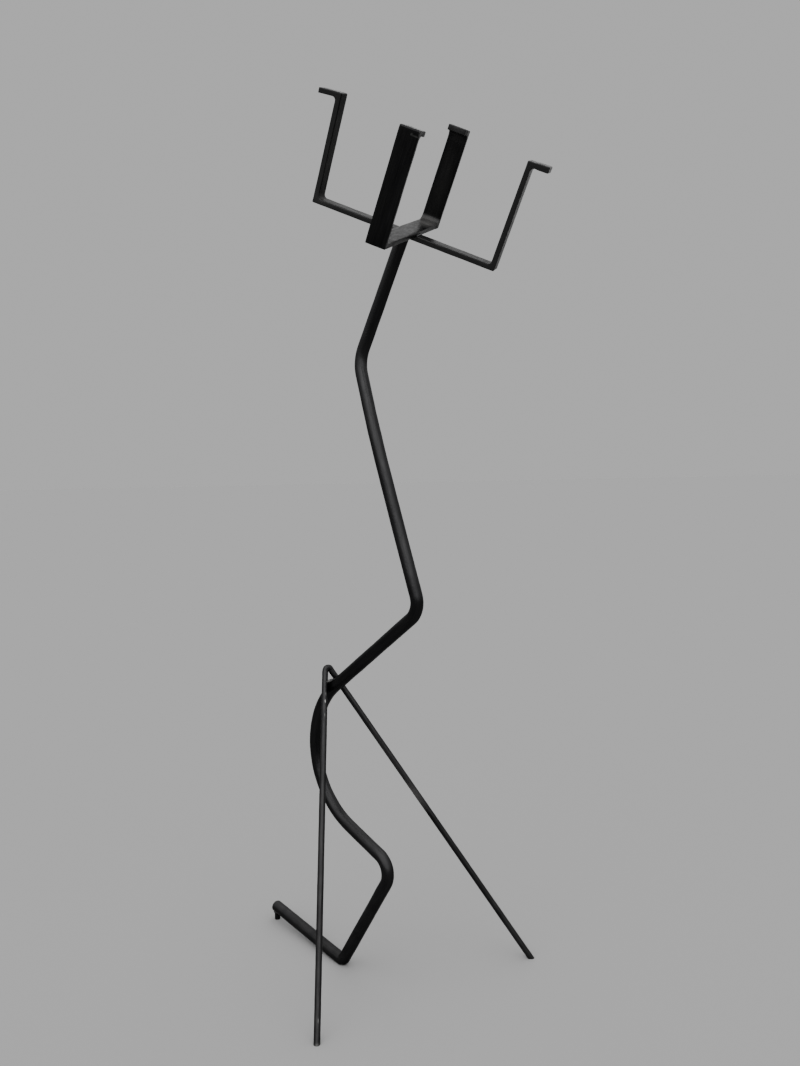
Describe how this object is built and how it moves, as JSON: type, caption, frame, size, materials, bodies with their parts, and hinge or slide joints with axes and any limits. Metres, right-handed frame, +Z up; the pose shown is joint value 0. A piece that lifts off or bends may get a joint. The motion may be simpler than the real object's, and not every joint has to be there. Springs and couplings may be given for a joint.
{
  "type": "forged steel figure sculpture",
  "caption": "Tall abstract kneeling figure of bent round steel bar, propped on a thin hairpin leg, with a crown of crossed flat bars for a head.",
  "frame": {"origin": "on the floor, under the middle of the figure's bounding box", "axes": "+Z up; the figure faces -Y, where its front foot stands; +X is to the viewer's right, where its side foot stands"},
  "size_m": [0.817, 0.7347, 2.3818],
  "materials": {
    "blackened_round_bar": "forge-blackened, waxed, satin",
    "blackened_thin_bar": "forge-blackened, rubbed brighter on the front",
    "blackened_flat_bar": "mill scale, blackened, satin",
    "blackened_side_bar": "mill scale, blackened, satin",
    "blackened_peg": "forge-blackened"
  },
  "bodies": {
    "root": {"body_bar": "blackened_round_bar", "leg_bar": "blackened_thin_bar", "head_front_bar": "blackened_flat_bar", "head_side_bar": "blackened_side_bar", "toe_peg": "blackened_peg"}
  },
  "joints": []
}
